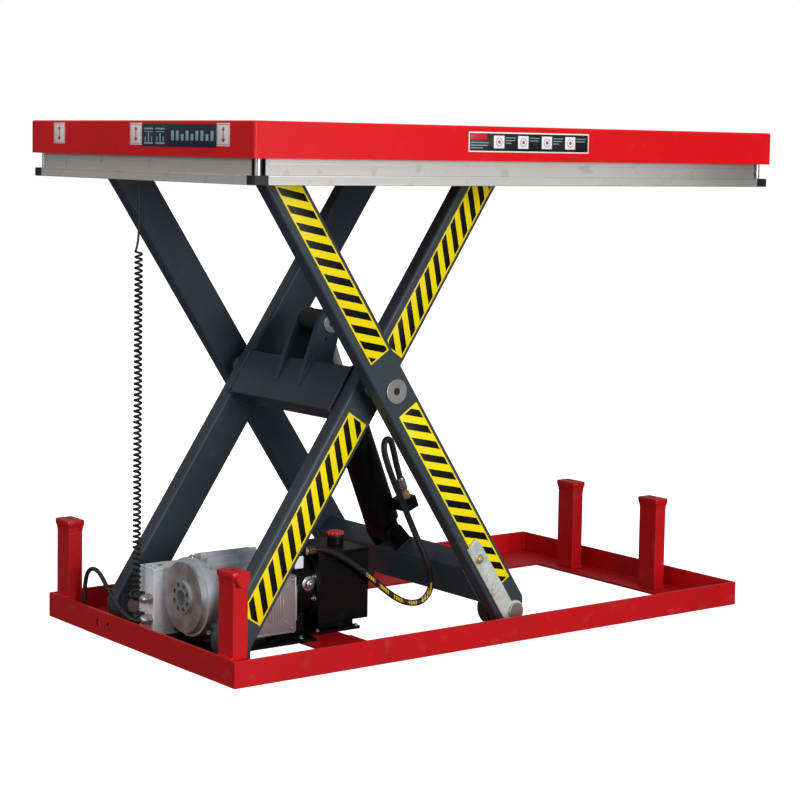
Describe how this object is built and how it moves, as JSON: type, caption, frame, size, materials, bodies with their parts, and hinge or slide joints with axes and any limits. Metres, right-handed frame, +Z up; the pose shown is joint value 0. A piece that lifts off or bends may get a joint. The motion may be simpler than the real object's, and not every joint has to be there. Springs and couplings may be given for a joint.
{
  "type": "scissor lift table",
  "caption": "Electro-hydraulic scissor lift table: flat platform with trip guard on crossed arms, floor frame with transport posts, power unit and lift cylinder.",
  "frame": {"origin": "on the floor under the middle of the platform", "axes": "+X along the platform towards the roller end, +Y across it away from the side with the maintenance prop, +Z up"},
  "size_m": [1.3, 0.83, 1.02],
  "materials": {
    "red_paint": "gloss powder coat",
    "grey_paint": "satin powder coat",
    "black_paint": "satin black",
    "zinc_steel": "zinc plated",
    "bright_steel": "turned steel",
    "chrome_rod": "hard chrome",
    "guard_aluminium": "mill finish",
    "cast_aluminium": "cast",
    "flange_iron": "machined",
    "cover_silver": "pressed",
    "box_grey": "light grey",
    "black_plastic": "moulded",
    "red_plastic": "moulded",
    "rubber": "smooth",
    "brass": "turned",
    "relay_plastic": "moulded"
  },
  "bodies": {
    "base": {"front_rail": "red_paint", "back_rail": "red_paint", "left_end_rail": "red_paint", "right_end_rail": "red_paint", "cross_plate": "red_paint", "corner_posts": "red_paint", "post_caps": "red_paint", "base_pivot_brackets": "grey_paint", "base_pivot_pins": "zinc_steel", "power_tray": "black_paint", "motor_housing": "cast_aluminium", "motor_end_flange": "flange_iron", "motor_bearings": "bright_steel", "terminal_box": "cast_aluminium", "terminal_cover": "cover_silver", "pump_body": "black_paint", "pump_manifold": "cast_aluminium", "oil_tank": "black_paint", "control_box": "box_grey", "control_box_lid": "box_grey", "cable_glands": "zinc_steel", "contactor": "relay_plastic", "hose_lower": "rubber", "motor_cable": "rubber", "control_cable": "rubber", "cable_connector": "zinc_steel", "spiral_cord": "rubber", "spiral_lead": "rubber"},
    "rotor": {"motor_rotor": "bright_steel", "pump_drive_gear": "bright_steel"},
    "idler": {"pump_idler_gear": "bright_steel"},
    "cap": {"filler_cap": "red_plastic"},
    "inner_arms": {"inner_arm_front": "grey_paint", "inner_arm_back": "grey_paint", "crossbeam": "grey_paint", "clevis_cheeks": "grey_paint", "inner_arm_pins": "zinc_steel"},
    "upper_rollers": {"upper_rollers": "bright_steel"},
    "outer_arms": {"outer_arm_front": "grey_paint", "outer_arm_back": "grey_paint", "lower_cross_tube": "grey_paint", "cylinder_lugs": "grey_paint", "outer_arm_pins": "zinc_steel"},
    "lower_rollers": {"lower_rollers": "bright_steel"},
    "prop": {"safety_prop": "zinc_steel"},
    "barrel": {"cylinder_barrel": "black_paint", "cylinder_gland": "black_paint", "port_block": "black_paint", "hose_fitting": "brass", "hose_upper": "rubber"},
    "piston": {"piston_rod": "chrome_rod"},
    "platform": {"deck": "red_paint", "deck_stiffeners": "red_paint", "deck_pivot_brackets": "red_paint", "deck_pivot_pins": "zinc_steel", "guard_rods": "zinc_steel", "limit_switches": "black_plastic"},
    "guard": {"guard_rails": "guard_aluminium", "guard_corners": "black_plastic"},
    "plungers": {"switch_plungers": "bright_steel"}
  },
  "joints": [
    {"name": "lift", "type": "hinge", "parent": "base", "child": "inner_arms", "pos_m": [-0.5462, 0, 0.0463], "axis": [0, 1, 0], "range_deg": [0, 49.9], "deforming": ["spiral_cord", "spiral_lead", "hose_lower", "hose_upper"]},
    {"name": "centre_pivot", "type": "hinge", "parent": "inner_arms", "child": "outer_arms", "pos_m": [-0.23896, 0, 0.51048], "axis": [0, 1, 0], "range_deg": [-99.8, 0]},
    {"name": "platform_pivot", "type": "hinge", "parent": "outer_arms", "child": "platform", "pos_m": [-0.5462, 0, 0.97467], "axis": [0, 1, 0], "range_deg": [0, 49.9]},
    {"name": "cylinder_swing", "type": "hinge", "parent": "outer_arms", "child": "barrel", "pos_m": [-0.03975, 0, 0.17507], "axis": [0, 1, 0], "range_deg": [0, 4.7]},
    {"name": "cylinder_stroke", "type": "slide", "parent": "barrel", "child": "piston", "axis": [-0.3739, 0, 0.9275], "range_m": [-0.17026, 0]},
    {"name": "lower_roller_spin", "type": "hinge", "parent": "outer_arms", "child": "lower_rollers", "pos_m": [0.06827, 0, 0.0463], "axis": [0, 1, 0], "continuous": true},
    {"name": "upper_roller_spin", "type": "hinge", "parent": "inner_arms", "child": "upper_rollers", "pos_m": [0.06827, 0, 0.97467], "axis": [0, 1, 0], "continuous": true},
    {"name": "guard_trip", "type": "slide", "parent": "platform", "child": "guard", "axis": [0, 0, 1], "range_m": [0, 0.012]},
    {"name": "switch_press", "type": "slide", "parent": "platform", "child": "plungers", "axis": [0, 0, 1], "range_m": [0, 0.012]},
    {"name": "prop_swing", "type": "hinge", "parent": "outer_arms", "child": "prop", "pos_m": [0.06827, 0, 0.0463], "axis": [0, 1, 0], "range_deg": [0, 38]},
    {"name": "motor_spin", "type": "hinge", "parent": "base", "child": "rotor", "pos_m": [-0.548, -0.043, 0.102], "axis": [1, 0, 0], "continuous": true},
    {"name": "idler_spin", "type": "hinge", "parent": "base", "child": "idler", "pos_m": [-0.548, -0.043, 0.0726], "axis": [1, 0, 0], "continuous": true},
    {"name": "filler_cap_turn", "type": "hinge", "parent": "base", "child": "cap", "pos_m": [-0.19, -0.03, 0.18], "axis": [0, 0, 1], "range_deg": [0, 90]}
  ],
  "couplings": [
    {"joint": "centre_pivot", "follows": "lift", "ratio": -2},
    {"joint": "platform_pivot", "follows": "lift", "ratio": 1},
    {"joint": "cylinder_swing", "follows": "lift", "ratio": 0.093949},
    {"joint": "cylinder_stroke", "follows": "lift", "m_per_rad": -0.19538},
    {"joint": "switch_press", "follows": "guard_trip", "ratio": 1},
    {"joint": "idler_spin", "follows": "motor_spin", "ratio": -1}
  ]
}
